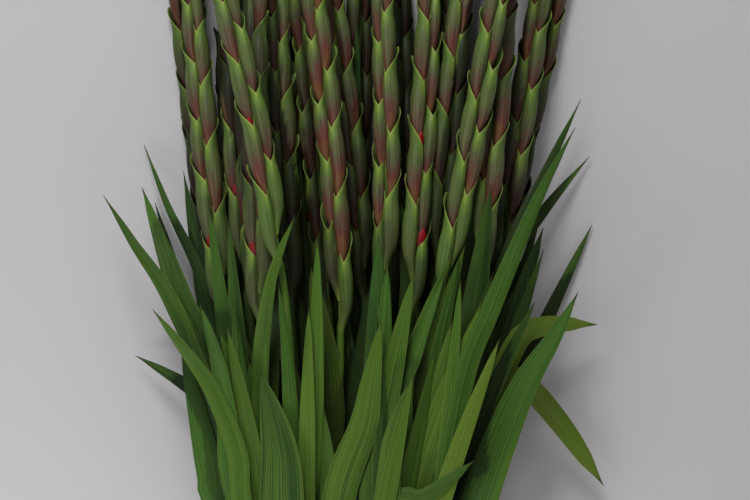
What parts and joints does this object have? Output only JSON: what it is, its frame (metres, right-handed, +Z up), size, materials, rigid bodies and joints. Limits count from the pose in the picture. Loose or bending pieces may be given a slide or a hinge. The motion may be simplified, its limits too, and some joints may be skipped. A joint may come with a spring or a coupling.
{
  "type": "cut gladiolus",
  "caption": "Tied bunch of cut gladiolus stems in tight bud, with sword-shaped leaves, lying on its side.",
  "frame": {"origin": "on the surface that the bunch lies on, under the middle of its bounding box", "axes": "+Y along the bunch, from the cut ends to the spike tips; +X across it; +Z up, away from the surface"},
  "size_m": [0.4404, 0.98, 0.1297],
  "materials": {
    "leafy_stem": null,
    "tie": "matt flat raffia band"
  },
  "bodies": {
    "root": {"gladiolus_01": "leafy_stem", "gladiolus_02": "leafy_stem", "gladiolus_03": "leafy_stem", "gladiolus_04": "leafy_stem", "gladiolus_05": "leafy_stem", "gladiolus_06": "leafy_stem", "gladiolus_07": "leafy_stem", "gladiolus_08": "leafy_stem", "gladiolus_09": "leafy_stem", "gladiolus_10": "leafy_stem", "gladiolus_11": "leafy_stem", "gladiolus_12": "leafy_stem", "gladiolus_13": "leafy_stem", "gladiolus_14": "leafy_stem", "gladiolus_15": "leafy_stem", "gladiolus_16": "leafy_stem", "gladiolus_17": "leafy_stem", "gladiolus_18": "leafy_stem", "gladiolus_19": "leafy_stem", "gladiolus_20": "leafy_stem", "gladiolus_21": "leafy_stem", "gladiolus_22": "leafy_stem", "gladiolus_23": "leafy_stem", "tie": "tie"}
  },
  "joints": []
}
